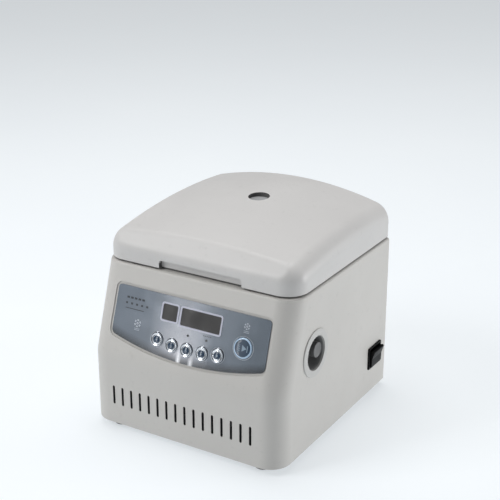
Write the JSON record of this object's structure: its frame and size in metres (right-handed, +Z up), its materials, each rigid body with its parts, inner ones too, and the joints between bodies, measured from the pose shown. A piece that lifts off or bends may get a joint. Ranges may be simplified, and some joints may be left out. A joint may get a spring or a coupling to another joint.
{
  "type": "microcentrifuge",
  "caption": "Bench microcentrifuge: moulded housing with sloping keypad and displays, domed hinged lid with sight window, steel chamber, angle rotor, side release button and rocker switch.",
  "frame": {"origin": "middle of the whole part's footprint, at the bottom of the rubber feet", "axes": "+Z up; the front with the sloping keypad faces -Y; +X is the side with the release button and mains switch"},
  "size_m": [0.247, 0.26, 0.2414],
  "materials": {
    "cream_housing": "fine-textured moulding",
    "white_lid": "smooth satin moulding",
    "rubber": "moulded",
    "grey_rubber": "moulded",
    "steel": "drawn and brushed",
    "bright_steel": "polished",
    "zinc_steel": "zinc plated",
    "black_aluminium": "black anodised",
    "aluminium": "turned",
    "copper_iron": "laminations and windings",
    "magnets": "laminations and magnets",
    "overlay": "printed foil",
    "bezel_grey": "satin",
    "smoked": "smoked window",
    "clear": "polished window",
    "key_blue": "glossy",
    "start_blue": "glossy with pale ring",
    "board_green": "fibreglass board",
    "black_plastic": "glossy",
    "black_matt": "moulded",
    "grey_plastic": "satin",
    "button_grey": "satin",
    "brass": "plated"
  },
  "bodies": {
    "base": {"base_plate": "zinc_steel", "base_screws": "zinc_steel", "capacitors": "black_plastic", "chamber_bowl": "steel", "chamber_gasket": "grey_rubber", "control_board": "board_green", "control_overlay": "overlay", "display_bezels": "bezel_grey", "display_modules": "black_matt", "display_window_main": "smoked", "display_window_small": "smoked", "foot_screws": "zinc_steel", "heatsink": "aluminium", "hinge_leaves_lower": "steel", "hinge_pins": "bright_steel", "housing_hinge_screws": "zinc_steel", "housing_shell": "cream_housing", "indicator_lenses": "smoked", "inlet_pins": "brass", "inlet_screws": "zinc_steel", "key_switches": "black_matt", "lock_frame": "zinc_steel", "lock_solenoid": "copper_iron", "motor_bearings": "bright_steel", "motor_end_cap": "aluminium", "motor_housing": "aluminium", "motor_mount_plate": "zinc_steel", "motor_screws": "zinc_steel", "motor_stator": "copper_iron", "power_board": "board_green", "power_inlet": "black_matt", "release_bezel": "grey_plastic", "release_microswitch": "black_matt", "release_spring": "bright_steel", "rubber_feet": "rubber", "shaft_boot": "rubber", "switch_body": "black_plastic", "switch_terminals": "brass", "transformer": "copper_iron", "vibration_dampers": "rubber"},
    "lid": {"lid_cover": "white_lid", "lid_liner": "steel", "lid_screws": "zinc_steel", "sight_window": "clear", "lid_striker": "steel", "hinge_leaves_upper": "steel", "lid_hinge_screws": "zinc_steel"},
    "rotor": {"rotor_body": "black_aluminium", "rotor_nut": "aluminium", "motor_shaft": "bright_steel", "motor_armature": "magnets"},
    "lock_bolt": {"lock_bolt": "bright_steel"},
    "release_button": {"release_button": "button_grey"},
    "start_key": {"start_key": "start_blue"},
    "power_rocker": {"power_rocker": "black_plastic"},
    "key_1": {"key_1": "key_blue"},
    "key_2": {"key_2": "key_blue"},
    "key_3": {"key_3": "key_blue"},
    "key_4": {"key_4": "key_blue"},
    "key_5": {"key_5": "key_blue"}
  },
  "joints": [
    {"name": "lid_hinge", "type": "hinge", "parent": "base", "child": "lid", "pos_m": [-0.00375, 0.126, 0.188], "axis": [-1, 0, 0], "range_deg": [0, 80]},
    {"name": "rotor_spin", "type": "hinge", "parent": "base", "child": "rotor", "pos_m": [-0.00375, 0.031, 0.14], "axis": [0, 0, 1], "continuous": true},
    {"name": "lock_slide", "type": "slide", "parent": "base", "child": "lock_bolt", "axis": [1, 0, 0], "range_m": [0, 0.013], "stiffness_N_per_m": 100},
    {"name": "release_press", "type": "slide", "parent": "base", "child": "release_button", "axis": [-1, 0, 0], "range_m": [0, 0.003], "stiffness_N_per_m": 800, "deforming": ["release_spring"]},
    {"name": "rocker_tilt", "type": "hinge", "parent": "base", "child": "power_rocker", "pos_m": [0.11625, 0.089, 0.0514], "axis": [0, -1, 0], "range_deg": [0, 20]},
    {"name": "start_key_press", "type": "slide", "parent": "base", "child": "start_key", "axis": [0, 0.9496, -0.3134], "range_m": [0, 0.0008], "stiffness_N_per_m": 1500},
    {"name": "key_1_press", "type": "slide", "parent": "base", "child": "key_1", "axis": [0, 0.9496, -0.3134], "range_m": [0, 0.0008], "stiffness_N_per_m": 1500},
    {"name": "key_2_press", "type": "slide", "parent": "base", "child": "key_2", "axis": [0, 0.9496, -0.3134], "range_m": [0, 0.0008], "stiffness_N_per_m": 1500},
    {"name": "key_3_press", "type": "slide", "parent": "base", "child": "key_3", "axis": [0, 0.9496, -0.3134], "range_m": [0, 0.0008], "stiffness_N_per_m": 1500},
    {"name": "key_4_press", "type": "slide", "parent": "base", "child": "key_4", "axis": [0, 0.9496, -0.3134], "range_m": [0, 0.0008], "stiffness_N_per_m": 1500},
    {"name": "key_5_press", "type": "slide", "parent": "base", "child": "key_5", "axis": [0, 0.9496, -0.3134], "range_m": [0, 0.0008], "stiffness_N_per_m": 1500}
  ]
}
